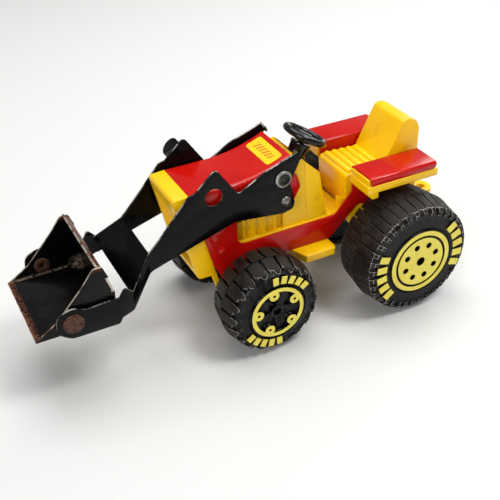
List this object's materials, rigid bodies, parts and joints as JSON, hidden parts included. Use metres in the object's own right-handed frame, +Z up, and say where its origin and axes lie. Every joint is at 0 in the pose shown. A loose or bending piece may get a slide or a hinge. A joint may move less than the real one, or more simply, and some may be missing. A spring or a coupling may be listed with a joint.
{
  "type": "toy wheel loader",
  "caption": "Toy front-end loader tractor with tilting bucket on lifting arms, rolling wheels, a turning steering wheel, a seat and a towing drawbar.",
  "frame": {"origin": "on the ground, under the middle of the bounding box, on the toy's middle plane", "axes": "-X is forward (towards the bucket), +Z up, -Y the toy's left side"},
  "size_m": [0.222, 0.095, 0.0932],
  "materials": {
    "red_enamel": "gloss enamel",
    "yellow_plastic": "moulded, semi-gloss",
    "yellow_label": "printed label",
    "yellow_foil": "hot-stamped foil",
    "black_enamel": "gloss enamel, worn at edges",
    "black_plastic": "moulded gloss",
    "wheel_plastic": "moulded, scuffed",
    "bright_steel": "worn plating",
    "rusty_steel": "brown, rusted"
  },
  "bodies": {
    "chassis": {"hood_frame": "red_enamel", "nose_grille": "yellow_plastic", "engine_block": "yellow_plastic", "cab_floor": "yellow_plastic", "step_pan": "yellow_plastic", "dash": "yellow_plastic", "seat": "yellow_plastic", "rear_body": "yellow_plastic", "fender_left": "yellow_plastic", "fender_right": "yellow_plastic", "drawbar": "yellow_plastic", "hood_decal": "yellow_label", "steering_column": "black_plastic", "lift_rivet_left": "bright_steel", "lift_rivet_right": "bright_steel", "lift_washers": "bright_steel"},
    "loader": {"loader_arms": "black_enamel", "detent_pips": "bright_steel", "bucket_rivets": "rusty_steel", "bucket_washers": "bright_steel"},
    "bucket": {"bucket_tray": "black_enamel", "bucket_back": "black_enamel"},
    "front_wheels": {"front_axle": "bright_steel", "front_wheel_left": "wheel_plastic", "front_wheel_right": "wheel_plastic", "front_foil_left": "yellow_foil", "front_foil_right": "yellow_foil"},
    "rear_wheels": {"rear_axle": "bright_steel", "rear_wheel_left": "wheel_plastic", "rear_wheel_right": "wheel_plastic", "rear_foil_left": "yellow_foil", "rear_foil_right": "yellow_foil"},
    "steering": {"steering_wheel": "black_plastic"}
  },
  "joints": [
    {"name": "loader_lift", "type": "hinge", "parent": "chassis", "child": "loader", "pos_m": [0.0115, 0, 0.0776], "axis": [0, 1, 0], "range_deg": [-17, 45]},
    {"name": "bucket_tilt", "type": "hinge", "parent": "loader", "child": "bucket", "pos_m": [-0.0943, 0, 0.0415], "axis": [0, 1, 0], "range_deg": [-60, 25]},
    {"name": "front_roll", "type": "hinge", "parent": "chassis", "child": "front_wheels", "pos_m": [-0.0046, 0, 0.024], "axis": [0, 1, 0], "continuous": true},
    {"name": "rear_roll", "type": "hinge", "parent": "chassis", "child": "rear_wheels", "pos_m": [0.071, 0, 0.03], "axis": [0, 1, 0], "continuous": true},
    {"name": "steering_turn", "type": "hinge", "parent": "chassis", "child": "steering", "pos_m": [0.033, 0, 0.0867], "axis": [0.5, 0, 0.866], "continuous": true}
  ]
}
